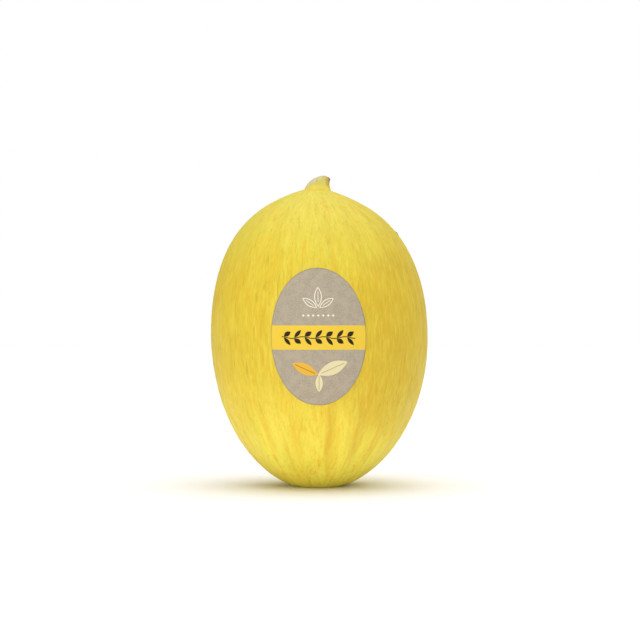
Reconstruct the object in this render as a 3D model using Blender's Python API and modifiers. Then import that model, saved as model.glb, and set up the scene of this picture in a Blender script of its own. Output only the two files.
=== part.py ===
"""A yellow honeydew melon standing on its blossom end, with its stem stub and an oval paper label.

Metres, +Z up. The origin is the middle of the small flat spot that the fruit stands on.
The label faces -Y, and the stem stub's tip bends towards +X.
"""

import math

import bmesh
import bpy
from mathutils import Vector

# The fruit: two half superellipses that meet at its widest level
EQUATOR_RADIUS = 0.0675
UPPER_HALF = 0.0885
UPPER_POWER = 2.18
LOWER_HALF = 0.0960
LOWER_POWER = 1.95

# Its axis is bowed a little, and the stem end leans to one side
AXIS_BOW = 0.00175
AXIS_TILT = 0.00095

# Its three seed chambers make the cross-section a trace three-sided
LOBES = 3
LOBE_SHARE = 0.006

# Shallow folds run lengthwise near both ends: their count round the fruit, strength and phase
FOLD_DEPTH = 0.00035
FOLDS = ((11, 1.0, 1.0), (17, 0.7, 2.2))

# The stem end swells into a low neck, cut off level where the stem stub sits
NECK_RISE = 0.0036
NECK_SPREAD = 0.018
SEAT_DEPTH = 0.0014
SEAT_EDGE = 0.0003

# The flat spot on the blossom end, and how softly the rind turns into it
FOOT_RISE = 0.0030
FOOT_EDGE = 0.0006

WIDEST_LEVEL = LOWER_HALF - FOOT_RISE
SEAT_LEVEL = WIDEST_LEVEL + UPPER_HALF + NECK_RISE - SEAT_DEPTH

# How finely the rind is divided, and how much closer its rings lie at the two ends
RIND_SEGMENTS = 84
RIND_RINGS = 44
RING_CROWDING = 0.25

# Pieces that touch the rind stay this far off it
CLEARANCE = 0.0003

# The stem stub: a ridged knob that leans over towards +X as it rises, with a small dry beak on that side
STUB_RADIUS = 0.0081
STUB_HEIGHT = 0.0092
STUB_POWER = 1.5
STUB_LEAN = 0.0037
STUB_LEAN_POWER = 2.3
STUB_RIDGES = 5
STUB_RIDGE_SHARE = 0.04
BEAK_LENGTH = 0.0009
BEAK_CLIMB = math.radians(55)
BEAK_SPREAD = math.radians(20)
STUB_SEGMENTS = 30
STUB_RINGS = 22

# The paper label, as wide round the girth and as high as it looks from the front
LABEL_WIDTH = 0.0582
LABEL_HEIGHT = 0.0817
LABEL_THICKNESS = 0.0003
LABEL_COLUMNS = 16
LABEL_ROWS = 24
FRONT = math.radians(-90)


def clear_scene():
    for obj in list(bpy.data.objects):
        bpy.data.objects.remove(obj, do_unlink=True)


def new_collection(name):
    collection = bpy.data.collections.new(name)
    bpy.context.scene.collection.children.link(collection)
    return collection


def material(name, color, roughness):
    """A plain Principled material; none of this object's materials is a metal."""
    made = bpy.data.materials.new(name)
    made.use_nodes = True
    shader = made.node_tree.nodes["Principled BSDF"]
    shader.inputs["Base Color"].default_value = (*color, 1.0)
    shader.inputs["Roughness"].default_value = roughness
    shader.inputs["Metallic"].default_value = 0.0
    return made


def mesh_object(name, bm, collection, finish):
    mesh = bpy.data.meshes.new(name)
    bm.to_mesh(mesh)
    bm.free()
    mesh.shade_smooth()
    mesh.materials.append(finish)
    obj = bpy.data.objects.new(name, mesh)
    collection.objects.link(obj)
    return obj


def soft_max(a, b, softness):
    """The larger of two heights, with the corner between them rounded over the softness."""
    near = max(softness - abs(a - b), 0.0)
    return max(a, b) + near * near / (4 * softness)


def rind_point(turn, climb):
    """A point of the rind: its turn round the axis, and its climb from -90 (blossom) to 90 degrees (stem)."""
    half, power = (UPPER_HALF, UPPER_POWER) if climb > 0 else (LOWER_HALF, LOWER_POWER)
    rise = math.sin(climb)
    reach = max(math.cos(climb), 0.0) ** (2 / power)
    height = WIDEST_LEVEL + math.copysign(abs(rise) ** (2 / power), rise) * half

    folds = sum(strength * math.cos(count * turn + phase) for count, strength, phase in FOLDS)
    radius = EQUATOR_RADIUS * reach * (1 + LOBE_SHARE * math.sin(LOBES * turn))
    radius += FOLD_DEPTH * math.sin(2 * climb) ** 2 * folds

    if climb > 0:
        height += NECK_RISE * math.exp(-((EQUATOR_RADIUS * reach / NECK_SPREAD) ** 2))
    height = -soft_max(-height, -SEAT_LEVEL, SEAT_EDGE)
    height = soft_max(height, 0.0, FOOT_EDGE)

    shift = AXIS_BOW * (1 - rise * rise) - AXIS_TILT * (1 + rise)
    return Vector((radius * math.cos(turn) + shift, radius * math.sin(turn), height))


def rind_normal(turn, climb):
    step = math.radians(0.01)
    round_the_girth = rind_point(turn + step, climb) - rind_point(turn - step, climb)
    up_the_side = rind_point(turn, climb + step) - rind_point(turn, climb - step)
    return round_the_girth.cross(up_the_side).normalized()


def make_melon(collection, finish):
    """The whole fruit in one piece: a sphere, rings crowded to its ends, moved onto the rind's formula."""
    bm = bmesh.new()
    bmesh.ops.create_uvsphere(bm, u_segments=RIND_SEGMENTS, v_segments=RIND_RINGS, radius=1.0)
    for vert in bm.verts:
        latitude = math.asin(max(-1.0, min(1.0, vert.co.z)))
        turn = math.atan2(vert.co.y, vert.co.x)
        vert.co = rind_point(turn, latitude + RING_CROWDING * math.sin(2 * latitude))
    return mesh_object("melon", bm, collection, finish)


def stub_point(turn, climb):
    """A point of the stem stub: a dome on a flat base, which is the sphere's lower half pressed level."""
    height = STUB_HEIGHT * max(math.sin(climb), 0.0) ** (2 / STUB_POWER)
    radius = STUB_RADIUS * math.cos(climb) * (1 - STUB_RIDGE_SHARE * math.cos(STUB_RIDGES * turn))
    beside = math.hypot(turn * math.cos(climb), climb - BEAK_CLIMB)
    radius += BEAK_LENGTH * math.exp(-((beside / BEAK_SPREAD) ** 2))
    lean = STUB_LEAN * (height / STUB_HEIGHT) ** STUB_LEAN_POWER
    return Vector((radius * math.cos(turn) + lean, radius * math.sin(turn), height))


def make_stem_stub(collection, finish):
    """The short stub of the fruit's stalk: a sphere moved onto the knob's formula, just above its seat."""
    bm = bmesh.new()
    bmesh.ops.create_uvsphere(bm, u_segments=STUB_SEGMENTS, v_segments=STUB_RINGS, radius=1.0)
    for vert in bm.verts:
        turn = math.atan2(vert.co.y, vert.co.x)
        vert.co = stub_point(turn, math.asin(max(-1.0, min(1.0, vert.co.z))))
    stub = mesh_object("stem_stub", bm, collection, finish)
    stub.location = (0, 0, SEAT_LEVEL + CLEARANCE)
    return stub


def label_place(across, up):
    """Turn and climb of a label point, from its distance round the girth and above the widest level."""
    half, power = (UPPER_HALF, UPPER_POWER) if up > 0 else (LOWER_HALF, LOWER_POWER)
    climb = math.copysign(math.asin((abs(up) / half) ** (power / 2)), up)
    reach = math.cos(climb) ** (2 / power)
    return FRONT + across / (EQUATOR_RADIUS * reach), climb


def make_paper_label(collection, finish):
    """The oval label: a grid pulled into an ellipse, laid over the front of the rind and given thickness."""
    bm = bmesh.new()
    bmesh.ops.create_grid(bm, x_segments=LABEL_COLUMNS, y_segments=LABEL_ROWS, size=1.0)
    for vert in bm.verts:
        x, y = vert.co.x, vert.co.y
        across = LABEL_WIDTH / 2 * x * math.sqrt(1 - y * y / 2)
        up = LABEL_HEIGHT / 2 * y * math.sqrt(1 - x * x / 2)
        place = label_place(across, up)
        vert.co = rind_point(*place) + CLEARANCE * rind_normal(*place)
    label = mesh_object("paper_label", bm, collection, finish)
    paper = label.modifiers.new("paper", "SOLIDIFY")
    paper.thickness = LABEL_THICKNESS
    paper.offset = 1.0
    return label


def main():
    clear_scene()
    fruit = new_collection("honeydew_melon")
    rind = material("rind", (0.84, 0.66, 0.09), 0.45)
    stalk = material("stalk", (0.50, 0.42, 0.15), 0.80)
    paper = material("kraft_paper", (0.48, 0.40, 0.29), 0.85)
    make_melon(fruit, rind)
    make_stem_stub(fruit, stalk)
    make_paper_label(fruit, paper)


main()
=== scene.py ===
"""A yellow honeydew melon: its wrinkled waxy rind, the dry stub of its stalk and its kraft paper label."""

import math

import bpy
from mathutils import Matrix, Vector


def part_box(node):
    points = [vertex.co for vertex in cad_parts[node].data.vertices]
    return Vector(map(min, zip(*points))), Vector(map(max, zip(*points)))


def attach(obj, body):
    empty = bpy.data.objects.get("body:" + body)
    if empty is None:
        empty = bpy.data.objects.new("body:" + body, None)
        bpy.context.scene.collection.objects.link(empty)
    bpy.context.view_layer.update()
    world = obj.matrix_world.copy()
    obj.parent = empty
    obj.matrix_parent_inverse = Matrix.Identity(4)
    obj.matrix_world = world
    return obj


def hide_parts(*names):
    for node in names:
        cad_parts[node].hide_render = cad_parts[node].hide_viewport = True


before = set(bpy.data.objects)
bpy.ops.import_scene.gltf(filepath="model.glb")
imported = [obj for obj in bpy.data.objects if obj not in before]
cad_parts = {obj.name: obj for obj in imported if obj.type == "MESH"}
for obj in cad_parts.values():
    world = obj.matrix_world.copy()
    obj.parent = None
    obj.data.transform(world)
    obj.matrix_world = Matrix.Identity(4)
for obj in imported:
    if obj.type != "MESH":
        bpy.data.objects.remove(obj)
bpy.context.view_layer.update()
melon_low, melon_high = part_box("melon")
stub_low, stub_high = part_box("stem_stub")

# The rind's form: two half superellipses that meet at the widest level, as in the solids
LOWER_HALF = 0.0960
FOOT_RISE = 0.0030
NECK_RISE = 0.0036
SEAT_DEPTH = 0.0014
WIDEST_LEVEL = LOWER_HALF - FOOT_RISE
SEAT_LEVEL = melon_high.z
RIND_FORM = {
    "Equator Radius": (melon_high.x - melon_low.x) / 2,
    "Upper Half": SEAT_LEVEL + SEAT_DEPTH - NECK_RISE - WIDEST_LEVEL,
    "Upper Power": 2.18,
    "Lower Half": LOWER_HALF,
    "Lower Power": 1.95,
    "Widest Level": WIDEST_LEVEL,
    "Axis Bow": 0.00175,
    "Axis Tilt": 0.00095,
    "Lobe Share": 0.006,
    "Fold Depth": 0.00035,
    "Neck Rise": NECK_RISE,
    "Neck Spread": 0.018,
    "Foot Edge": 0.0006,
}
LOBES = 3
FOLDS = ((11, 1.0, 1.0), (17, 0.7, 2.2))  # count round the fruit, strength, phase
RIND_SEGMENTS = 720
RIND_RINGS = 138
RING_CROWDING = 0.15

# The rind's relief: soft folds, wrinkles between them, a corky scab and the dent of the blossom scar
RIND_RELIEF = {
    "Swell Height": 0.00045,
    "Fold Height": 0.00050,
    "Wrinkle Height": 0.00026,
    "Crease Height": 0.00014,
    "Scar Radius": 0.0062,
    "Scar Depth": 0.0007,
    "Scab Height": 0.0007,
}
SCAB_PLACE = (0.0495, -0.0030, 0.1574)
SCAB_RADIUS = 0.0019
SCAB_SKIRT = SCAB_RADIUS * 1.4

# The noises behind the relief: waves across the fruit and along it, how far they wander, and octaves
SWELLS = (6.0, 1.6, 0.0, 1.0)
LONG_FOLDS = (13.0, 1.5, 0.2, 1.5)
WRINKLES = (24.0, 5.5, 0.5, 2.0)
CREASES = (44.0, 14.0, 0.9, 2.0)

# The folds are full below one level and weaker above the widest. All relief dies out at the foot and, as
# the cosine of the climb falls, at both ends, where lengthwise lines would crowd together. The blossom
# scar's dent is only on the flat spot, below the last level
FULL_FOLDS_LEVEL = WIDEST_LEVEL - 0.060
UPPER_FOLD_SHARE = 0.35
FOOT_FADE = (0.0, 0.004)
END_FADE = (0.08, 0.40)
FLAT_SPOT_LEVEL = 0.001

# The stem stub: a ridged knob that leans towards +X and ends in a dry beak. It is a little narrower than the
# solid, so that its fibres stay within the solid's width
ROOM_FOR_FIBRES = 0.97
STUB_FORM = {
    "Radius": (stub_high.y - stub_low.y) / 2 * ROOM_FOR_FIBRES,
    "Height": stub_high.z - stub_low.z,
    "Power": 1.48,
    "Lean": 0.0034,
    "Lean Power": 2.3,
    "Ridge Share": 0.045,
    "Beak Length": 0.0013,
    "Beak Climb": math.radians(55),
    "Beak Spread": math.radians(15),
    "Root Depth": 0.0034,
    "Root Flare": 0.0004,
    "Flare Height": 0.0012,
    "Skirt Width": 0.0020,
    "Skirt Share": 0.40,
    "Fibre Height": 0.00040,
}
STUB_RIDGES = 5
STUB_SEGMENTS = 160
STUB_RINGS = 100

# The noises of the stub's fibres, as for the rind, and how much stronger the coarse ones are
COARSE_FIBRES = (5.0, 1.4, 0.0, 2.0)
FINE_FIBRES = (15.0, 2.5, 0.0, 3.0)
COARSE_SHARE = 1.6
STUB_END_FADE = (0.0, 0.5)

# The label: an oval sheet laid over the front of the rind
LABEL_FORM = {
    "Width": 0.0573,
    "Height": 0.0807,
    "Rise": 0.0003,
    "Gap": 0.00024,
    "Ripple": 0.00008,
}
LABEL_THICKNESS = 0.00020
LABEL_COLUMNS = 80
LABEL_ROWS = 110
RIPPLE_SCALE = 70.0
FRONT = math.radians(-90.35)

# Every colour below is given as it looks on a screen, 0 to 255. A pair of numbers for an edge, for levels or
# the like is where a thing starts and where it is full, and two more numbers are what it gives at each.

# The rind's zones: gold at the girth, lemon at the stem end, and paler at the foot and palest underneath,
# which is painted light for the bounce from the floor. Each zone comes in between two levels, which wave up
# and down, and on the front the lemon reaches down in a tongue
GOLD = (224, 194, 55)
LEMON = (223, 207, 71)
LEMON_LEVELS = (WIDEST_LEVEL + 0.028, WIDEST_LEVEL + 0.084)
# Painted light: the foot is made paler, and the underside palest, for the bounce from the white floor
BOUNCE_LIT_PALE = (246, 227, 86)
BOUNCE_LIT_PALE_LEVELS = (WIDEST_LEVEL - 0.020, WIDEST_LEVEL - 0.064)
BOUNCE_LIT_PALEST = (251, 236, 92)
BOUNCE_LIT_PALEST_LEVELS = (0.036, 0.012)
ZONE_WAVE = 0.020
TONGUE_MIDDLE = -0.004
TONGUE_SIDES = (0.056, 0.010)
TONGUE_LENGTH = 0.024

# Two patches on the front: middle and reach, each to the right and up, how ragged the border is, where in
# reaches the patch starts and is full, its strength and its colour. The amber one is painted shade on the
# right of the label
AMBER_SHADE_PATCH = ((0.035, 0.082), (0.022, 0.044), 1.5, (1.7, 0.2), 0.75, (211, 177, 48))
TAN_PATCH = ((0.040, 0.135), (0.013, 0.010), 2.5, (1.5, 0.2), 0.50, (208, 172, 48))

# The warmer, lighter low left side, painted light: from where to where to the left, down from its top and up
# from its bottom
WARM_PAINTED_LIGHT = (255, 226, 62)
WARM_LEFT = (-0.030, -0.055)
WARM_TOP = (0.085, 0.050)
WARM_BOTTOM = (0.006, 0.030)
WARM_STRENGTH = 0.40

# Painted shade of ribs: darker lines on the front, two below the label and one above it: turn from the
# middle and half width in radians, how far the rib wanders, the levels between which it comes in, its
# strength and its colour
RIB_SHADES = (
    (0.14, 0.055, 0.10, (0.068, 0.048), 0.80, (222, 176, 46)),
    (0.47, 0.075, 0.10, (0.068, 0.048), 0.60, (222, 176, 46)),
    (0.13, 0.050, 0.06, (0.120, 0.145), 0.30, (200, 174, 54)),
)
RIB_FOOT = (0.012, 0.030)

# The rind's streaks: waves across the fruit and along it, how far they wander, and octaves
STREAKS = {
    "ripeness": (14.0, 5.0, 0.6, 3.0),
    "winding": (27.0, 4.5, 0.6, 2.0),
    "mottle": (34.0, 7.0, 0.9, 2.0),
    "dash": (42.0, 8.0, 0.5, 1.0),
    "fine": (84.0, 16.0, 0.7, 3.0),
}
STREAK_ROUGHNESS = 0.6
BLOTCH_SCALE = 26.0

# How the streaks run: 0 for ones that close up to a point at the ends, 1 for parallel ones. The lower value
# takes over between two climbs. Towards the stem they grow longer, the more so the smaller the last value is
UPPER_NARROWING = 0.20
LOWER_NARROWING = 0.36
LOWER_CLIMBS = (0.3, -0.5)
UPPER_REACH = 0.9

# Fewer streaks fit round the shoulders and the ends: their shares of the girth's, and the girths at which
# one kind passes into the next
SHOULDER_SHARE = 0.70
END_SHARE = 0.42
END_TO_SHOULDER = (0.20, 0.50)
SHOULDER_TO_GIRTH = (0.55, 0.85)

# The mottling and painted shading, from broad to fine: the streaks it reads, the values at which it starts
# and is full, its strength, what that gains at the stem end and at the foot, and its colour. The fold rows
# paint a highlight on the raised folds and shade in their hollows; the crease row paints shade in the
# creases
BLUSH = (("blotches", 0.62, 0.35, 0.35, 0.0, 0.0, (224, 190, 50)),)
MOTTLING_AND_SHADE = (
    ("ripeness", 0.48, 0.30, 0.28, 0.22, 0.36, (236, 190, 46)),
    ("ripeness", 0.52, 0.72, 0.28, 0.22, 0.36, (226, 214, 74)),
    # Painted highlight on the raised folds and painted shade in their hollows, at the foot
    ("fold", 0.50, 0.76, 0.0, 0.0, 0.28, (250, 236, 104)),
    ("fold", 0.50, 0.28, 0.0, 0.0, 0.38, (226, 182, 48)),
    ("mottle", 0.46, 0.74, 0.40, -0.04, -0.08, (240, 224, 92)),
    ("mottle", 0.50, 0.26, 0.40, -0.04, -0.08, (206, 172, 42)),
    ("fine", 0.46, 0.28, 0.17, -0.07, 0.0, (202, 168, 44)),
    # Painted shade in the creases
    ("crease", 0.48, 0.34, 0.18, 0.0, 0.0, (208, 170, 40)),
)

# Thin winding lines, broken where the fine streaks are weak, and short dashes, fewer between the blotches:
# each kind's strength and what it loses at the foot
LINE = (192, 162, 48)
LINE_WIDTH = 0.052
LINE_BREAKS = (0.44, 0.56)
LINE_STRENGTH = 0.38
LINE_FOOT_LOSS = 0.16
DASH = (186, 154, 46)
DASH_EDGE = (0.62, 0.72)
DASH_BLOTCHES = (0.62, 0.40, 0.4, 1.0)
DASH_STRENGTH = 0.46
DASH_FOOT_LOSS = 0.28

# Freckles: cells a metre, how their size changes over the rind, and their soft edge
FRECKLE = (176, 136, 58)
FRECKLE_SCALE = 95.0
FRECKLE_SIZE_SCALE = 60.0
FRECKLE_SIZES = (0.60, 0.80, 0.02, 0.10)
FRECKLE_EDGE = (0.03, -0.02)
FRECKLE_STRENGTH = 0.55

# The ragged borders of the scab and the scar. The scab has a brown rim and a dark middle
RAGGED_SCALE = 420.0
RAGGED_DEPTH = 0.004
SCAB_RAGGED_SHARE = 0.7
SCAB_RIM = (138, 108, 52)
SCAB_RIM_EDGE = (SCAB_RADIUS * 1.5, SCAB_RADIUS)
SCAB_DARK = (66, 54, 32)
SCAB_DARK_EDGE = (SCAB_RADIUS * 1.05, SCAB_RADIUS * 0.6)

# The orange flecks round the stem: distances from the axis, levels, and the ripeness that they show at
STEM_FLECK = (232, 184, 62)
STEM_FLECK_REACH = (0.020, 0.010)
STEM_FLECK_LEVELS = (SEAT_LEVEL - 0.015, SEAT_LEVEL - 0.008)
STEM_FLECK_RIPENESS = (0.50, 0.40)
STEM_FLECK_STRENGTH = 0.6

# The brown blossom scar in the middle of the flat spot
SCAR = (150, 120, 78)
SCAR_EDGE = (0.0078, 0.0055)
SCAR_LEVELS = (0.0030, 0.0008)
SCAR_STRENGTH = 0.9

# The rind's gloss and fine bumps: metres of relief, and the shares of what makes them
RIND_BUMP = 0.00016
PORE_SCALE = 1900.0
MOTTLE_BUMP = 0.40
FINE_BUMP = 0.20
PORE_BUMP = 0.10
LINE_BUMP = 0.20
FRECKLE_BUMP = 0.10
RIND_ROUGHNESS = (0.3, 0.7, 0.60, 0.46)
DRY_ROUGHNESS = 0.30
RIND_SHEEN = {
    "IOR": 1.42,
    "Specular IOR Level": 0.28,
    "Subsurface Weight": 0.12,
    "Subsurface Radius": (1.0, 0.75, 0.2),
    "Subsurface Scale": 0.004,
}

# The stub's colours, with the shares of its height between which they come in. The root is the rind's
# yellow, lifted as painted light against the shade on the stub's upright walls
STUB_ROOT_LIFTED = (234, 217, 90)
STUB_MIDDLE = (221, 204, 90)
STUB_MIDDLE_LEVELS = (0.08, 0.42)
STUB_TOP = (210, 198, 118)
STUB_TOP_LEVELS = (0.35, 0.75)

# Its cream flank, partly dry skin and partly painted highlight, grows to the left and up, and its brown
# side, painted shade, to the right
CREAM_AND_HIGHLIGHT = (213, 202, 160)
CREAM_LEFTWARD = 80.0
CREAM_UPWARD = 1.05
CREAM_BLOTCHES = 0.35
CREAM_EDGE = (0.72, 1.12, 0.0, 0.90)
BROWN_SHADE = (196, 156, 56)
BROWN_RIGHTWARD = 190.0
BROWN_BLOTCHES = 0.5
BROWN_EDGE = (0.95, 1.45)
BROWN_LEVELS = (0.10, 0.40)
BROWN_STRENGTH = 0.60

# Its dry strands, and its tip, dark in a brown ring
STRAND_WAVES = (16.0, 16.0, 3.0)
STRAND_ROUGHNESS = 0.65
DRY = (166, 144, 76)
DRY_EDGE = (0.48, 0.34, 0.0, 0.45)
DRY_LEVELS = (0.12, 0.45)
STUB_BLOTCH_SCALE = 260.0
TIP_PLACE = (0.0070, -0.0005, stub_low.z + 0.0072)
TIP_RAGGED = 0.0012
TIP_RING = (160, 136, 70)
TIP_RING_EDGE = (0.0038, 0.0014, 0.0, 0.45)
TIP_DARK = (60, 52, 32)
TIP_DARK_EDGE = (0.0018, 0.0009, 0.0, 0.95)
STUB_BUMP = 0.00030
STRAND_BUMP = 0.8
STUB_BLOTCH_BUMP = 0.2
STUB_ROUGHNESS = (0.3, 0.7, 0.88, 0.68)
STUB_SHEEN = {"Specular IOR Level": 0.30}

# The kraft paper: waves a millimetre of its pulp and clouds, and across and up of its fibres
PULP_SCALE = 1.3
PULP_OCTAVES = 5.0
PULP_ROUGHNESS = 0.8
CLOUD_SCALE = 0.22
LEVEL_FIBRES = (0.7, 4.5, 1.0)
UPRIGHT_FIBRES = (4.5, 0.8, 1.0)
FIBRE_WANDER = 1.2

# Its colours, and where in its noises each starts and is full and how strong it is
KRAFT_DARK = (155, 142, 121)
KRAFT_LIGHT = (182, 170, 150)
KRAFT_EDGE = (0.34, 0.66)
CLOUD = (184, 170, 148)
CLOUD_EDGE = (0.40, 0.62, 0.0, 0.45)
LIGHT_FIBRE = (198, 187, 168)
LIGHT_FIBRE_EDGE = (0.60, 0.74, 0.0, 0.35)
DARK_FIBRE = (134, 118, 94)
DARK_FIBRE_EDGE = (0.62, 0.76, 0.0, 0.40)
CUT_EDGE = (140, 128, 104)
CUT_EDGE_PLACE = (0.978, 0.995, 0.0, 0.45)
LABEL_BUMP = 0.00002
PULP_BUMP = 0.5
FIBRE_BUMP = 0.25
LABEL_ROUGHNESS = (0.3, 0.7, 0.88, 0.76)
LABEL_SHEEN = {"Specular IOR Level": 0.25}

# The inks, how soft their edges are in millimetres, and how they wear where the pulp is thin
BAND_INK = (232, 196, 62)
DARK_INK = (44, 32, 16)
WHITE_INK = (236, 232, 214)
INK_SOFTNESS = 0.10
INK_WEAR = (0.25, 0.42, 0.80, 1.0)

# The print, in millimetres from the label's middle: the yellow band and the garland of leaves along it
MILLIMETRES = 1000.0  # in a metre
BAND_MIDDLE = -0.5
BAND_WIDTH = 14.2
GARLAND_STEP = 6.2
GARLAND_WAVE = 0.5
GARLAND_LENGTH = 43.4
GARLAND_STEM = 0.28
GARLAND_LEAF = ((0.2, 2.15), 5.4, 2.5, math.radians(42))  # middle, length, width, tilt

# The white sprig above the band: where it starts, and its leaves' directions in degrees and lengths
SPRIG_FOOT = 16.5
SPRIG_LEAVES = ((90, 11.0), (146, 9.46), (34, 9.46))
SPRIG_OFFSET = 0.62  # from the foot to a leaf's middle, in leaf lengths
SPRIG_WIDTH = 0.36  # a leaf's width in its lengths
SPRIG_OUTLINE = 0.24
SPRIG_VEIN = 0.55  # a vein's length in leaf lengths
SPRIG_VEIN_WIDTH = 0.34

# The row of white dots under the sprig: its level, step, length and the dots' radius
DOTS_LEVEL = 12.4
DOTS_STEP = 2.9
DOTS_LENGTH = 20.3
DOT_RADIUS = 0.62

# The three leaves below the band: middle, length, width, tilt, ink, ink of the vein
LOW_LEAVES = (
    ((8.2, -18.4), 19.0, 7.4, math.radians(24), (224, 212, 168), (180, 160, 104)),
    ((-8.0, -18.9), 16.5, 6.2, math.radians(156), (226, 176, 58), (168, 116, 34)),
    ((0.2, -27.2), 10.5, 4.2, math.radians(90), (224, 212, 168), (180, 160, 104)),
)
LOW_VEIN = 0.78
LOW_VEIN_WIDTH = 0.40

# The camera stands level in front of the label, a little above the middle of the fruit
LENS = 100.0
SENSOR = 36.0
VIEW_WIDTH = 0.3992
AIM = Vector((0.00125, 0.0, WIDEST_LEVEL + 0.0101))

# The light tent's glow all round, what it gains overhead, to the right and behind the fruit, and how
# closely that keeps to its direction
TENT_SIDES = 0.03
TENT_TOP = 2.95
TENT_TOP_FOCUS = 4.0
TENT_RIGHT = 0.50
TENT_BEHIND = 0.42
TENT_SIDE_FOCUS = 2.0

# The low soft box at the front left: metres and watts
LOW_BOX_PLACE = (-0.35, -1.0, 0.03)
LOW_BOX_TARGET = (0.0, 0.0, 0.03)
LOW_BOX_SIZE = 0.5
LOW_BOX_POWER = 6.9

# The floor: a wide round disc
FLOOR_RADIUS = 6.0
FLOOR_SIDES = 96
FLOOR_WHITE = (0.97, 0.97, 0.97, 1.0)
FLOOR_SHEEN = {"Roughness": 0.9, "Specular IOR Level": 0.1}


def srgb(red, green, blue):
    """A colour given as it looks on a screen, 0 to 255, in the linear values that shaders take."""
    def linear(value):
        share = value / 255
        return share / 12.92 if share <= 0.04045 else ((share + 0.055) / 1.055) ** 2.4
    return (linear(red), linear(green), linear(blue), 1.0)


class Term:
    """A number that a node tree works out. Arithmetic on it adds Math nodes to the tree."""

    def __init__(self, graph, socket):
        self.graph = graph
        self.socket = socket

    def __add__(self, other):
        return self.graph.math("ADD", self, other)

    def __radd__(self, other):
        return self.graph.math("ADD", other, self)

    def __sub__(self, other):
        return self.graph.math("SUBTRACT", self, other)

    def __rsub__(self, other):
        return self.graph.math("SUBTRACT", other, self)

    def __mul__(self, other):
        return self.graph.math("MULTIPLY", self, other)

    def __rmul__(self, other):
        return self.graph.math("MULTIPLY", other, self)

    def __truediv__(self, other):
        return self.graph.math("DIVIDE", self, other)

    def __rtruediv__(self, other):
        return self.graph.math("DIVIDE", other, self)

    def __pow__(self, other):
        return self.graph.math("POWER", self, other)

    def __neg__(self):
        return self.graph.math("MULTIPLY", self, -1.0)


class Graph:
    """A node tree being built. An input takes a plain value, a Term or another node's output."""

    def __init__(self, tree):
        self.tree = tree

    def feed(self, socket, value):
        if isinstance(value, Term):
            value = value.socket
        if isinstance(value, bpy.types.NodeSocket):
            self.tree.links.new(value, socket)
        else:
            socket.default_value = value

    def node(self, kind, inputs=None, **settings):
        made = self.tree.nodes.new(kind)
        for name, value in settings.items():
            setattr(made, name, value)
        for name, value in (inputs or {}).items():
            self.feed(made.inputs[name], value)
        return made

    def math(self, operation, *values):
        made = self.node("ShaderNodeMath", operation=operation)
        for socket, value in zip(made.inputs, values):
            self.feed(socket, value)
        return Term(self, made.outputs[0])

    def vector(self, operation, *values, output="Vector"):
        made = self.node("ShaderNodeVectorMath", operation=operation)
        for socket, value in zip(made.inputs, values):
            self.feed(socket, value)
        return Term(self, made.outputs[output])

    def distance(self, first, second):
        return self.vector("DISTANCE", first, second, output="Value")

    def split(self, vector):
        parts = self.node("ShaderNodeSeparateXYZ", {"Vector": vector})
        return [Term(self, socket) for socket in parts.outputs]

    def join(self, x, y, z):
        return Term(self, self.node("ShaderNodeCombineXYZ", {"X": x, "Y": y, "Z": z}).outputs[0])

    def noise(self, vector, scale=1.0, detail=2.0, roughness=0.5, distortion=0.0, stretch=(1.0, 1.0, 1.0)):
        """Soft noise around 0.5. stretch multiplies the vector first, so it sets a grain's three scales."""
        stretched = self.vector("MULTIPLY", vector, stretch)
        inputs = {
            "Vector": stretched, "Scale": scale, "Detail": detail,
            "Roughness": roughness, "Distortion": distortion,
        }
        return Term(self, self.node("ShaderNodeTexNoise", inputs).outputs[0])

    def step(self, value, start, end, low=0.0, high=1.0):
        """Goes smoothly from low to high as value goes from start to end."""
        inputs = {"Value": value, "From Min": start, "From Max": end, "To Min": low, "To Max": high}
        made = self.node("ShaderNodeMapRange", inputs, interpolation_type="SMOOTHSTEP")
        return Term(self, made.outputs[0])

    def mix(self, factor, first, second):
        """Colour first where factor is 0, second where it is 1."""
        made = self.node("ShaderNodeMix", data_type="RGBA")
        inputs = [socket for socket in made.inputs if socket.enabled]
        for socket, value in zip(inputs, (factor, first, second)):
            self.feed(socket, value)
        return Term(self, next(socket for socket in made.outputs if socket.enabled))

    def over(self, color, amount, shade):
        """A colour with another one over it, given as it looks on a screen, by an amount from 0 to 1."""
        return self.mix(amount, color, srgb(*shade))


def shape_graph(name, sizes):
    """An empty Geometry Nodes tree with a named input for each size. Gives its graph and its inputs."""
    tree = bpy.data.node_groups.new(name, "GeometryNodeTree")
    tree.interface.new_socket("Geometry", in_out="OUTPUT", socket_type="NodeSocketGeometry")
    for label in sizes:
        tree.interface.new_socket(label, in_out="INPUT", socket_type="NodeSocketFloat")
    graph = Graph(tree)
    entry = graph.node("NodeGroupInput")
    return graph, {label: Term(graph, entry.outputs[label]) for label in sizes}


def close_shape(graph, geometry, finish):
    """Ends a tree: smooth faces, no instances, one material."""
    smooth = graph.node("GeometryNodeSetShadeSmooth", {"Geometry": geometry})
    real = graph.node("GeometryNodeRealizeInstances", {"Geometry": smooth.outputs[0]})
    painted = graph.node("GeometryNodeSetMaterial", {"Geometry": real.outputs[0], "Material": finish})
    graph.node("NodeGroupOutput", {"Geometry": painted.outputs[0]})
    return graph.tree


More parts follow.
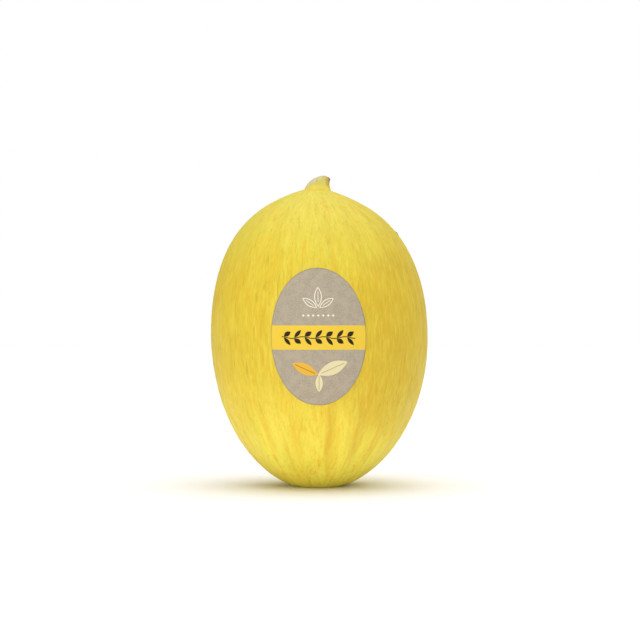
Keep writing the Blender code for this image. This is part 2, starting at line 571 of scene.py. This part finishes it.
def grown_piece(name, tree, sizes):
    """The object that a tree makes with these sizes, as a plain mesh with no modifier."""
    holder = bpy.data.objects.new(name + "_holder", bpy.data.meshes.new(name + "_holder"))
    bpy.context.scene.collection.objects.link(holder)
    maker = holder.modifiers.new("shape", "NODES")
    maker.node_group = tree
    for item in tree.interface.items_tree:
        if item.in_out == "INPUT":
            maker[item.identifier] = sizes[item.name]
    depsgraph = bpy.context.evaluated_depsgraph_get()
    mesh = bpy.data.meshes.new_from_object(
        holder.evaluated_get(depsgraph), preserve_all_data_layers=True, depsgraph=depsgraph
    )
    bpy.data.objects.remove(holder)
    piece = bpy.data.objects.new(name, mesh)
    bpy.context.scene.collection.objects.link(piece)
    return piece


def stored(graph, geometry, name, value, kind="FLOAT", domain="POINT"):
    inputs = {"Geometry": geometry, "Name": name, "Value": value}
    return graph.node("GeometryNodeStoreNamedAttribute", inputs, data_type=kind, domain=domain).outputs[0]


def moved(graph, geometry, height):
    """The geometry raised along its normals by a height."""
    lift = graph.vector("SCALE", graph.node("GeometryNodeInputNormal").outputs[0])
    graph.feed(lift.socket.node.inputs["Scale"], height)
    return graph.node("GeometryNodeSetPosition", {"Geometry": geometry, "Offset": lift}).outputs[0]


def lengthwise(graph, grain, across, along, wander, octaves):
    """Soft noise around 0, drawn out along a grown piece."""
    stretch = (across, across, along)
    return graph.noise(grain, stretch=stretch, detail=octaves, distortion=wander) - 0.5


def ball_angles(graph):
    """Turn round the axis and latitude of each point of a ball of radius 1."""
    x, y, z = graph.split(graph.node("GeometryNodeInputPosition").outputs[0])
    level = graph.math("MINIMUM", graph.math("MAXIMUM", z, -1.0), 1.0)
    return graph.math("ARCTAN2", y, x), graph.math("ARCSINE", level)


def half_form(size, above):
    """Height and power of the half superellipse that a point is on: the upper one where above is 1."""
    half = size["Lower Half"] + above * (size["Upper Half"] - size["Lower Half"])
    power = size["Lower Power"] + above * (size["Upper Power"] - size["Lower Power"])
    return half, power


def rind_place(graph, size, turn, climb):
    """The place on the smooth rind at a turn round the axis and a climb up its side."""
    above = graph.math("GREATER_THAN", climb, 0.0)
    half, power = half_form(size, above)
    bend = 2.0 / power
    rise = graph.math("SINE", climb)
    reach = graph.math("MAXIMUM", graph.math("COSINE", climb), 0.0) ** bend

    folds = graph.math("SINE", climb * 2.0) ** 2.0 * size["Fold Depth"] * sum(
        strength * graph.math("COSINE", turn * count + phase) for count, strength, phase in FOLDS
    )
    lobed = 1.0 + size["Lobe Share"] * graph.math("SINE", turn * LOBES)
    radius = size["Equator Radius"] * reach * lobed + folds

    spread = size["Equator Radius"] * reach / size["Neck Spread"]
    neck = above * size["Neck Rise"] * graph.math("EXPONENT", -(spread * spread))
    height = graph.math("SIGN", rise) * graph.math("ABSOLUTE", rise) ** bend * half
    level = graph.math("SMOOTH_MAX", size["Widest Level"] + height + neck, 0.0, size["Foot Edge"])

    shift = size["Axis Bow"] * (1.0 - rise * rise) - size["Axis Tilt"] * (1.0 + rise)
    x = radius * graph.math("COSINE", turn) + shift
    y = radius * graph.math("SINE", turn)
    return graph.join(x, y, level)


def rind_tree(finish):
    """The rind: a fine ball moved onto the smooth form, then raised into folds, wrinkles and a scab."""
    graph, size = shape_graph("rind_shape", {**RIND_FORM, **RIND_RELIEF})
    ball = graph.node(
        "GeometryNodeMeshUVSphere", {"Segments": RIND_SEGMENTS, "Rings": RIND_RINGS, "Radius": 1.0}
    )
    turn, latitude = ball_angles(graph)
    climb = latitude + RING_CROWDING * graph.math("SINE", latitude * 2.0)
    around = graph.join(graph.math("COSINE", turn), graph.math("SINE", turn), climb)
    marked = stored(graph, ball.outputs["Mesh"], "grain", around, kind="FLOAT_VECTOR")
    smooth = graph.node(
        "GeometryNodeSetPosition", {"Geometry": marked, "Position": rind_place(graph, size, turn, climb)}
    )

    named = graph.node("GeometryNodeInputNamedAttribute", {"Name": "grain"}, data_type="FLOAT_VECTOR")
    grain = named.outputs[0]
    swell = lengthwise(graph, grain, *SWELLS)
    fold = lengthwise(graph, grain, *LONG_FOLDS)
    wrinkle = lengthwise(graph, grain, *WRINKLES)
    crease = lengthwise(graph, grain, *CREASES)
    place = graph.node("GeometryNodeInputPosition").outputs[0]
    x, y, z = graph.split(place)
    folded = graph.step(z, WIDEST_LEVEL, FULL_FOLDS_LEVEL, UPPER_FOLD_SHARE, 1.0)
    relief = swell * size["Swell Height"] + fold * folded * size["Fold Height"]
    relief = relief + wrinkle * size["Wrinkle Height"] + crease * size["Crease Height"]
    away_from_ends = graph.step(graph.math("COSINE", graph.split(grain)[2]), *END_FADE)
    relief = relief * away_from_ends * graph.step(z, *FOOT_FADE)

    from_scab = graph.distance(place, SCAB_PLACE)
    relief = relief + graph.step(from_scab, SCAB_SKIRT, 0.0) * size["Scab Height"]
    from_scar = graph.math("SQRT", x * x + y * y)
    at_foot = graph.math("LESS_THAN", z, FLAT_SPOT_LEVEL)
    dent = at_foot * graph.step(from_scar, size["Scar Radius"], 0.0) * size["Scar Depth"]
    raised = moved(graph, smooth.outputs[0], relief - dent)
    creased = stored(graph, raised, "crease", wrinkle * 0.5 + crease * 0.5 + 0.5)
    return close_shape(graph, stored(graph, creased, "fold", fold + 0.5), finish)


def stub_tree(finish):
    """The stem stub: a leaning ridged knob whose root widens and sinks into the rind."""
    graph, size = shape_graph("stub_shape", STUB_FORM)
    ball = graph.node(
        "GeometryNodeMeshUVSphere", {"Segments": STUB_SEGMENTS, "Rings": STUB_RINGS, "Radius": 1.0}
    )
    turn, climb = ball_angles(graph)
    rise = graph.math("SINE", climb)
    height = size["Height"] * graph.math("MAXIMUM", rise, 0.0) ** (2.0 / size["Power"])
    under = graph.math("MAXIMUM", -rise, 0.0)
    root = size["Root Depth"] * graph.math("SQRT", under)
    flare = size["Root Flare"] * graph.math("EXPONENT", -(height / size["Flare Height"]))
    flare = flare + size["Skirt Width"] * graph.step(under, 0.0, size["Skirt Share"])
    ridges = 1.0 - size["Ridge Share"] * graph.math("COSINE", turn * STUB_RIDGES)
    across = graph.math("COSINE", climb)
    beside = turn * across
    above = climb - size["Beak Climb"]
    apart = (beside * beside + above * above) / (size["Beak Spread"] * size["Beak Spread"])
    beak = size["Beak Length"] * graph.math("EXPONENT", -apart)

    around = graph.join(graph.math("COSINE", turn), graph.math("SINE", turn), climb)
    coarse = lengthwise(graph, around, *COARSE_FIBRES)
    fine = lengthwise(graph, around, *FINE_FIBRES)
    fibres = size["Fibre Height"] * (coarse * COARSE_SHARE + fine) * graph.step(across, *STUB_END_FADE)

    radius = (size["Radius"] + flare) * across * ridges + beak + fibres
    lean = size["Lean"] * (height / size["Height"]) ** size["Lean Power"]
    x = radius * graph.math("COSINE", turn) + lean
    y = radius * graph.math("SINE", turn)
    placed = graph.node(
        "GeometryNodeSetPosition",
        {"Geometry": ball.outputs["Mesh"], "Position": graph.join(x, y, stub_low.z + height - root)},
    )
    marked = stored(graph, placed.outputs[0], "fibre", around, kind="FLOAT_VECTOR")
    return close_shape(graph, marked, finish)


def label_tree(finish):
    """The label: a grid pulled into an oval and laid over the front of the smooth rind."""
    graph, size = shape_graph("label_shape", {**RIND_FORM, **LABEL_FORM})
    sheet = graph.node(
        "GeometryNodeMeshGrid",
        {"Size X": 2.0, "Size Y": 2.0, "Vertices X": LABEL_COLUMNS, "Vertices Y": LABEL_ROWS},
    )
    x, y, _ = graph.split(graph.node("GeometryNodeInputPosition").outputs[0])
    oval_x = x * graph.math("SQRT", 1.0 - y * y * 0.5)
    oval_y = y * graph.math("SQRT", 1.0 - x * x * 0.5)
    flat = graph.join(oval_x * 0.5 + 0.5, oval_y * 0.5 + 0.5, 0.0)
    marked = stored(graph, sheet.outputs["Mesh"], "UVMap", flat, kind="FLOAT2", domain="CORNER")

    up = oval_y * size["Height"] * 0.5 + size["Rise"]
    half, power = half_form(size, graph.math("GREATER_THAN", up, 0.0))
    climb = graph.math("ARCSINE", (graph.math("ABSOLUTE", up) / half) ** (power * 0.5))
    climb = climb * graph.math("SIGN", up)
    reach = graph.math("COSINE", climb) ** (2.0 / power)
    turn = oval_x * size["Width"] * 0.5 / (size["Equator Radius"] * reach) + FRONT
    laid = graph.node(
        "GeometryNodeSetPosition", {"Geometry": marked, "Position": rind_place(graph, size, turn, climb)}
    )
    place = graph.node("GeometryNodeInputPosition").outputs[0]
    ripple = graph.noise(place, scale=RIPPLE_SCALE, detail=1.0) * size["Ripple"]
    return close_shape(graph, moved(graph, laid.outputs[0], size["Gap"] + ripple), finish)


def new_finish(name):
    """A new Principled material. Gives the material, its graph and its shader."""
    made = bpy.data.materials.new(name)
    made.use_nodes = True
    return made, Graph(made.node_tree), made.node_tree.nodes["Principled BSDF"]


def set_sheen(shader, sockets):
    """Sets the shader's own sockets to values that are the same over the whole surface."""
    for name, value in sockets.items():
        shader.inputs[name].default_value = value


def attribute(graph, name, output="Vector"):
    return Term(graph, graph.node("ShaderNodeAttribute", attribute_name=name).outputs[output])


def object_place(graph):
    return Term(graph, graph.node("ShaderNodeTexCoord").outputs["Object"])


def bumped(graph, shader, height, distance):
    """Raises the finish by height, 0 to 1, times a distance in metres."""
    bump = graph.node("ShaderNodeBump", {"Height": height, "Distance": distance, "Strength": 1.0})
    graph.feed(shader.inputs["Normal"], bump.outputs[0])


def along_the_rind(graph, grain, reach, across, along, wander, octaves):
    """Noise drawn out lengthwise, as wide near the ends of the fruit as at its girth."""
    round_x, round_y, climb = graph.split(grain)
    lower = graph.step(climb, *LOWER_CLIMBS)
    narrowing = reach ** (UPPER_NARROWING + lower * (LOWER_NARROWING - UPPER_NARROWING))
    above = graph.math("MAXIMUM", climb, 0.0)
    below = graph.math("MINIMUM", climb, 0.0)
    drawn_out = graph.math("TANH", above / UPPER_REACH) * UPPER_REACH + below
    grain = graph.join(round_x * narrowing, round_y * narrowing, drawn_out)

    def streaks(share):
        stretch = (across * share, across * share, along)
        return graph.noise(
            grain, stretch=stretch, detail=octaves, roughness=STREAK_ROUGHNESS, distortion=wander
        )

    girth = streaks(1.0)
    shoulder = streaks(SHOULDER_SHARE)
    end = streaks(END_SHARE)
    outer = end + graph.step(reach, *END_TO_SHOULDER) * (shoulder - end)
    return outer + graph.step(reach, *SHOULDER_TO_GIRTH) * (girth - outer)


def with_patch(graph, color, x, z, blotches, in_front, patch):
    """The colour with an oval patch of another shade on the front, whose border is ragged."""
    middle, reach, raggedness, border, strength, shade = patch
    right = (x - middle[0]) / reach[0]
    up = (z - middle[1]) / reach[1]
    apart = right * right + up * up + (blotches - 0.5) * raggedness
    return graph.over(color, graph.step(apart, *border, 0.0, strength) * in_front, shade)


def rind_zones(graph, x, y, z, blotches):
    """The rind's broad colour with its painted light and shade, and how far each point is in the lemon stem
    end and in the foot's painted bounce light.
    """
    in_front = graph.math("LESS_THAN", y, 0.0)
    from_tongue = graph.math("ABSOLUTE", x - TONGUE_MIDDLE)
    tongue = graph.step(from_tongue, *TONGUE_SIDES) * in_front * TONGUE_LENGTH
    level = z + (blotches - 0.5) * ZONE_WAVE
    lemon = graph.step(level + tongue, *LEMON_LEVELS)
    # Painted light: the paler foot and palest underside stand in for the floor's bounce
    bounce_lit_foot = graph.step(level, *BOUNCE_LIT_PALE_LEVELS)
    color = graph.over(srgb(*GOLD), lemon, LEMON)
    color = graph.over(color, bounce_lit_foot, BOUNCE_LIT_PALE)
    color = graph.over(color, graph.step(z, *BOUNCE_LIT_PALEST_LEVELS), BOUNCE_LIT_PALEST)
    # Painted shade: the amber patch darkens the right of the label
    color = with_patch(graph, color, x, z, blotches, in_front, AMBER_SHADE_PATCH)
    # Painted light: a lighter, warmer low left side
    warm_light = graph.step(x, *WARM_LEFT) * graph.step(z, *WARM_TOP) * graph.step(z, *WARM_BOTTOM)
    color = graph.over(color, warm_light * WARM_STRENGTH, WARM_PAINTED_LIGHT)
    color = with_patch(graph, color, x, z, blotches, in_front, TAN_PATCH)
    return color, lemon, bounce_lit_foot


def with_rib_shades(graph, color, x, y, z, blotches):
    """The colour with painted rib shade on the front, each a soft darker line along a meridian."""
    turn = graph.math("ARCTAN2", x, -y)
    for middle, half_width, wander, levels, strength, shade in RIB_SHADES:
        across = (turn - middle + (blotches - 0.5) * wander) / half_width
        rib_shade = graph.math("EXPONENT", -(across * across)) * graph.step(z, *levels)
        color = graph.over(color, rib_shade * graph.step(z, *RIB_FOOT) * strength, shade)
    return color


def with_mottling_and_shade(graph, color, streaks, lemon, bounce_lit_foot, rows):
    """The colour with light and dark mottling and painted light and shade, whose strength changes towards
    the stem end and the foot.
    """
    for kind, start, full, strength, at_stem, at_foot, shade in rows:
        amount = lemon * at_stem + bounce_lit_foot * at_foot + strength
        color = graph.over(color, graph.step(streaks[kind], start, full) * amount, shade)
    return color


def freckle_spots(graph, place):
    """1 in small round freckles, which are larger in some places than in others."""
    cells = graph.node("ShaderNodeTexVoronoi", {"Vector": place, "Scale": FRECKLE_SCALE})
    size = graph.step(graph.noise(place, scale=FRECKLE_SIZE_SCALE), *FRECKLE_SIZES)
    return graph.step(Term(graph, cells.outputs["Distance"]) - size, *FRECKLE_EDGE)


def rind_finish():
    """Waxy yellow skin: streaked lengthwise, lemon at the stem end, pale at the foot as painted bounce
    light, amber by the label as painted shade, with painted shade along the ribs, folds and creases.
    """
    made, graph, shader = new_finish("waxy_rind")
    grain = attribute(graph, "grain")
    place = object_place(graph)
    x, y, z = graph.split(place)
    reach = graph.math("COSINE", graph.split(grain)[2])
    streaks = {name: along_the_rind(graph, grain, reach, *kind) for name, kind in STREAKS.items()}
    streaks["crease"] = attribute(graph, "crease", "Fac")
    streaks["fold"] = attribute(graph, "fold", "Fac")
    blotches = graph.noise(place, scale=BLOTCH_SCALE)
    streaks["blotches"] = blotches

    color, lemon, bounce_lit_foot = rind_zones(graph, x, y, z, blotches)
    color = with_mottling_and_shade(graph, color, streaks, lemon, bounce_lit_foot, BLUSH)
    # Painted shade: darker lines along the front for the ribs
    color = with_rib_shades(graph, color, x, y, z, blotches)
    color = with_mottling_and_shade(graph, color, streaks, lemon, bounce_lit_foot, MOTTLING_AND_SHADE)

    from_line = graph.math("ABSOLUTE", streaks["winding"] - 0.5)
    lines = graph.step(from_line, LINE_WIDTH, 0.0) * graph.step(streaks["fine"], *LINE_BREAKS)
    color = graph.over(color, lines * (LINE_STRENGTH - bounce_lit_foot * LINE_FOOT_LOSS), LINE)
    dashes = graph.step(streaks["dash"], *DASH_EDGE) * graph.step(blotches, *DASH_BLOTCHES)
    color = graph.over(color, dashes * (DASH_STRENGTH - bounce_lit_foot * DASH_FOOT_LOSS), DASH)
    freckles = freckle_spots(graph, place)
    color = graph.over(color, freckles * FRECKLE_STRENGTH, FRECKLE)

    ragged = (graph.noise(place, scale=RAGGED_SCALE, detail=3.0) - 0.5) * RAGGED_DEPTH
    from_scab = graph.distance(place, SCAB_PLACE) + ragged * SCAB_RAGGED_SHARE
    scab = graph.step(from_scab, *SCAB_RIM_EDGE)
    color = graph.over(color, scab, SCAB_RIM)
    color = graph.over(color, graph.step(from_scab, *SCAB_DARK_EDGE), SCAB_DARK)
    from_axis = graph.math("SQRT", x * x + y * y)
    round_stem = graph.step(from_axis, *STEM_FLECK_REACH) * graph.step(z, *STEM_FLECK_LEVELS)
    flecks = round_stem * graph.step(streaks["ripeness"], *STEM_FLECK_RIPENESS)
    color = graph.over(color, flecks * STEM_FLECK_STRENGTH, STEM_FLECK)
    scar = graph.step(from_axis + ragged, *SCAR_EDGE) * graph.step(z, *SCAR_LEVELS)
    color = graph.over(color, scar * SCAR_STRENGTH, SCAR)
    graph.feed(shader.inputs["Base Color"], color)

    height = streaks["mottle"] * MOTTLE_BUMP + streaks["fine"] * FINE_BUMP
    height = height + graph.noise(place, scale=PORE_SCALE) * PORE_BUMP
    height = height + (1.0 - lines) * LINE_BUMP + (1.0 - freckles) * FRECKLE_BUMP
    bumped(graph, shader, height, RIND_BUMP)
    roughness = graph.step(streaks["mottle"], *RIND_ROUGHNESS) + (scar + scab) * DRY_ROUGHNESS
    graph.feed(shader.inputs["Roughness"], roughness)
    set_sheen(shader, RIND_SHEEN)
    return made


def stub_finish():
    """Dry stalk: rind yellow at its root, lifted as painted light, cream along its upper flank, partly
    painted highlight, and orange-brown painted shade below its dark tip.
    """
    made, graph, shader = new_finish("dry_stalk")
    place = object_place(graph)
    x, _, z = graph.split(place)
    up = (z - stub_low.z) / (stub_high.z - stub_low.z)
    strands = graph.noise(
        attribute(graph, "fibre"), stretch=STRAND_WAVES, detail=4.0, roughness=STRAND_ROUGHNESS
    )
    blotches = graph.noise(place, scale=STUB_BLOTCH_SCALE, detail=3.0)

    # Partly painted light: the root is lighter to match the rind's lit yellow
    color = graph.over(srgb(*STUB_ROOT_LIFTED), graph.step(up, *STUB_MIDDLE_LEVELS), STUB_MIDDLE)
    color = graph.over(color, graph.step(up, *STUB_TOP_LEVELS), STUB_TOP)
    flank = x * -CREAM_LEFTWARD + up * CREAM_UPWARD + blotches * CREAM_BLOTCHES
    # Partly painted highlight: cream on the upper left flank, where the light falls
    color = graph.over(color, graph.step(flank, *CREAM_EDGE), CREAM_AND_HIGHLIGHT)
    # Painted shade: orange-brown on the right side
    side = x * BROWN_RIGHTWARD + blotches * BROWN_BLOTCHES
    brown_shade = graph.step(side, *BROWN_EDGE) * graph.step(up, *BROWN_LEVELS)
    color = graph.over(color, brown_shade * BROWN_STRENGTH, BROWN_SHADE)
    color = graph.over(color, graph.step(strands, *DRY_EDGE) * graph.step(up, *DRY_LEVELS), DRY)
    from_tip = graph.distance(place, TIP_PLACE) + (blotches - 0.5) * TIP_RAGGED
    color = graph.over(color, graph.step(from_tip, *TIP_RING_EDGE), TIP_RING)
    color = graph.over(color, graph.step(from_tip, *TIP_DARK_EDGE), TIP_DARK)
    graph.feed(shader.inputs["Base Color"], color)

    bumped(graph, shader, strands * STRAND_BUMP + blotches * STUB_BLOTCH_BUMP, STUB_BUMP)
    graph.feed(shader.inputs["Roughness"], graph.step(strands, *STUB_ROUGHNESS))
    set_sheen(shader, STUB_SHEEN)
    return made


def inside(graph, distance):
    """1 where a distance in millimetres is below zero, 0 where it is above, with a printed edge between."""
    return graph.step(distance, INK_SOFTNESS, -INK_SOFTNESS)


def turned(x, y, centre, tilt):
    """A place measured from a centre, along and across a tilt."""
    right = x - centre[0]
    up = y - centre[1]
    along = right * math.cos(tilt) + up * math.sin(tilt)
    across = up * math.cos(tilt) - right * math.sin(tilt)
    return along, across


def leaf(graph, x, y, centre, length, width, tilt):
    """Distance to a pointed leaf lying along its tilt, roughly in millimetres; below zero inside it."""
    along, across = turned(x, y, centre, tilt)
    share = along / (length / 2)
    edge = (1.0 - share * share) * (width / 2)
    return graph.math("ABSOLUTE", across) - edge


def vein(graph, x, y, centre, length, tilt, thickness):
    """Distance to the line down the middle of a leaf."""
    along, across = turned(x, y, centre, tilt)
    past_end = graph.math("ABSOLUTE", along) - length / 2
    return graph.math("MAXIMUM", graph.math("ABSOLUTE", across) - thickness / 2, past_end)


def garland(graph, x, y):
    """Distance to a wavy stem with a pair of leaves at every step along it."""
    wave = graph.math("SINE", x * (math.pi / GARLAND_STEP)) * GARLAND_WAVE
    from_stem = graph.math("ABSOLUTE", y - BAND_MIDDLE - wave)
    along = graph.math("WRAP", x, -GARLAND_STEP / 2, GARLAND_STEP / 2)
    pair = leaf(graph, along, from_stem, *GARLAND_LEAF)
    past_end = graph.math("ABSOLUTE", x) - GARLAND_LENGTH / 2
    return graph.math("MAXIMUM", graph.math("MINIMUM", pair, from_stem - GARLAND_STEM), past_end)


def row_of_dots(graph, x, y):
    """Distance to the nearest of a level row of dots."""
    along = graph.math("WRAP", x, -DOTS_STEP / 2, DOTS_STEP / 2)
    up = y - DOTS_LEVEL
    from_dot = graph.math("SQRT", along * along + up * up) - DOT_RADIUS
    return graph.math("MAXIMUM", from_dot, graph.math("ABSOLUTE", x) - DOTS_LENGTH / 2)


def kraft_paper(graph, pulp, clouds, level_fibres, upright_fibres):
    """The paper's colour without its print."""
    color = graph.over(srgb(*KRAFT_DARK), graph.step(pulp, *KRAFT_EDGE), KRAFT_LIGHT)
    color = graph.over(color, graph.step(clouds, *CLOUD_EDGE), CLOUD)
    color = graph.over(color, graph.step(level_fibres, *LIGHT_FIBRE_EDGE), LIGHT_FIBRE)
    return graph.over(color, graph.step(upright_fibres, *DARK_FIBRE_EDGE), DARK_FIBRE)


def printed(graph, color, x, y, worn):
    """The paper's colour with the band, the garland, the white sprig over its dots and the low leaves."""
    def ink(under, distance, shade):
        return graph.over(under, inside(graph, distance) * worn, shade)

    color = ink(color, graph.math("ABSOLUTE", y - BAND_MIDDLE) - BAND_WIDTH / 2, BAND_INK)
    color = ink(color, garland(graph, x, y), DARK_INK)
    for direction, length in SPRIG_LEAVES:
        tilt = math.radians(direction)
        offset = length * SPRIG_OFFSET
        centre = (math.cos(tilt) * offset, SPRIG_FOOT + math.sin(tilt) * offset)
        edge = leaf(graph, x, y, centre, length, length * SPRIG_WIDTH, tilt)
        outline = graph.math("ABSOLUTE", edge) - SPRIG_OUTLINE
        middle = vein(graph, x, y, centre, length * SPRIG_VEIN, tilt, SPRIG_VEIN_WIDTH)
        color = ink(color, graph.math("MINIMUM", outline, middle), WHITE_INK)
    color = ink(color, row_of_dots(graph, x, y), WHITE_INK)

    for centre, length, width, tilt, leaf_ink, vein_ink in LOW_LEAVES:
        color = ink(color, leaf(graph, x, y, centre, length, width, tilt), leaf_ink)
        color = ink(color, vein(graph, x, y, centre, length * LOW_VEIN, tilt, LOW_VEIN_WIDTH), vein_ink)
    return color


def label_finish():
    """Uncoated kraft paper with a worn print and a darker cut edge."""
    made, graph, shader = new_finish("printed_kraft")
    uv = graph.node("ShaderNodeUVMap", uv_map="UVMap").outputs[0]
    across, along, _ = graph.split(uv)
    x = (across - 0.5) * (LABEL_FORM["Width"] * MILLIMETRES)
    y = (along - 0.5) * (LABEL_FORM["Height"] * MILLIMETRES)
    paper_place = graph.join(x, y, 0.0)

    pulp = graph.noise(paper_place, scale=PULP_SCALE, detail=PULP_OCTAVES, roughness=PULP_ROUGHNESS)
    clouds = graph.noise(paper_place, scale=CLOUD_SCALE)
    level_fibres = graph.noise(paper_place, stretch=LEVEL_FIBRES, distortion=FIBRE_WANDER)
    upright_fibres = graph.noise(paper_place, stretch=UPRIGHT_FIBRES, distortion=FIBRE_WANDER)
    color = kraft_paper(graph, pulp, clouds, level_fibres, upright_fibres)
    color = printed(graph, color, x, y, graph.step(pulp, *INK_WEAR))

    oval = graph.math("SQRT", (across * 2.0 - 1.0) ** 2.0 + (along * 2.0 - 1.0) ** 2.0)
    color = graph.over(color, graph.step(oval, *CUT_EDGE_PLACE), CUT_EDGE)
    graph.feed(shader.inputs["Base Color"], color)
    height = pulp * PULP_BUMP + level_fibres * FIBRE_BUMP + upright_fibres * FIBRE_BUMP
    bumped(graph, shader, height, LABEL_BUMP)
    graph.feed(shader.inputs["Roughness"], graph.step(pulp, *LABEL_ROUGHNESS))
    set_sheen(shader, LABEL_SHEEN)
    return made


def make_rind():
    return grown_piece("melon_rind", rind_tree(rind_finish()), {**RIND_FORM, **RIND_RELIEF})


def make_stub():
    return grown_piece("dry_stem", stub_tree(stub_finish()), STUB_FORM)


def make_label():
    label = grown_piece("kraft_label", label_tree(label_finish()), {**RIND_FORM, **LABEL_FORM})
    paper = label.modifiers.new("paper", "SOLIDIFY")
    paper.thickness = LABEL_THICKNESS
    paper.offset = 1.0
    return label


def make_floor():
    """A wide pale floor."""
    bpy.ops.mesh.primitive_circle_add(vertices=FLOOR_SIDES, radius=FLOOR_RADIUS, fill_type="NGON")
    floor = bpy.context.object
    floor.name = "floor"
    made, _, shader = new_finish("pale_floor")
    set_sheen(shader, {"Base Color": FLOOR_WHITE, **FLOOR_SHEEN})
    floor.data.materials.append(made)


def softbox(name, place, target, size, power):
    """A square area light that faces a target."""
    light = bpy.data.lights.new(name, "AREA")
    light.size = size
    light.energy = power
    lamp = bpy.data.objects.new(name, light)
    lamp.location = place
    lamp.rotation_euler = (Vector(target) - Vector(place)).to_track_quat("-Z", "Y").to_euler()
    lamp.visible_camera = False
    bpy.context.scene.collection.objects.link(lamp)


def make_light():
    """A light tent, brightest overhead, seen as plain white, with a low soft box at the front left."""
    world = bpy.data.worlds.new("light_tent")
    world.use_nodes = True
    bpy.context.scene.world = world
    graph = Graph(world.node_tree)
    direction = graph.node("ShaderNodeTexCoord").outputs["Generated"]
    right, behind, up = [graph.math("MAXIMUM", part, 0.0) for part in graph.split(direction)]
    glow = TENT_SIDES + TENT_TOP * up ** TENT_TOP_FOCUS
    glow = glow + TENT_RIGHT * right ** TENT_SIDE_FOCUS + TENT_BEHIND * behind ** TENT_SIDE_FOCUS
    tent = world.node_tree.nodes["Background"]
    tent.inputs["Color"].default_value = (1.0, 1.0, 1.0, 1.0)
    graph.feed(tent.inputs["Strength"], glow)
    backdrop = graph.node("ShaderNodeBackground", {"Color": (1.0, 1.0, 1.0, 1.0), "Strength": 1.0})
    ray = graph.node("ShaderNodeLightPath")
    seen = graph.node("ShaderNodeMixShader", {"Fac": ray.outputs["Is Camera Ray"]})
    graph.feed(seen.inputs[1], tent.outputs[0])
    graph.feed(seen.inputs[2], backdrop.outputs[0])
    graph.feed(world.node_tree.nodes["World Output"].inputs["Surface"], seen.outputs[0])
    softbox("low_box", LOW_BOX_PLACE, LOW_BOX_TARGET, LOW_BOX_SIZE, LOW_BOX_POWER)


def make_camera():
    camera = bpy.data.cameras.new("camera")
    camera.lens = LENS
    camera.sensor_width = SENSOR
    holder = bpy.data.objects.new("camera", camera)
    distance = VIEW_WIDTH * LENS / SENSOR
    back = Vector((0.0, -1.0, 0.0))
    holder.location = AIM + back * distance
    holder.rotation_euler = (-back).to_track_quat("-Z", "Y").to_euler()
    bpy.context.scene.collection.objects.link(holder)
    bpy.context.scene.camera = holder


rind = make_rind()
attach(rind, "root")
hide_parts("melon")

stub = make_stub()
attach(stub, "root")
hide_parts("stem_stub")

label = make_label()
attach(label, "root")
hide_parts("paper_label")

make_floor()
make_light()
make_camera()
bpy.context.scene.view_settings.view_transform = "Standard"
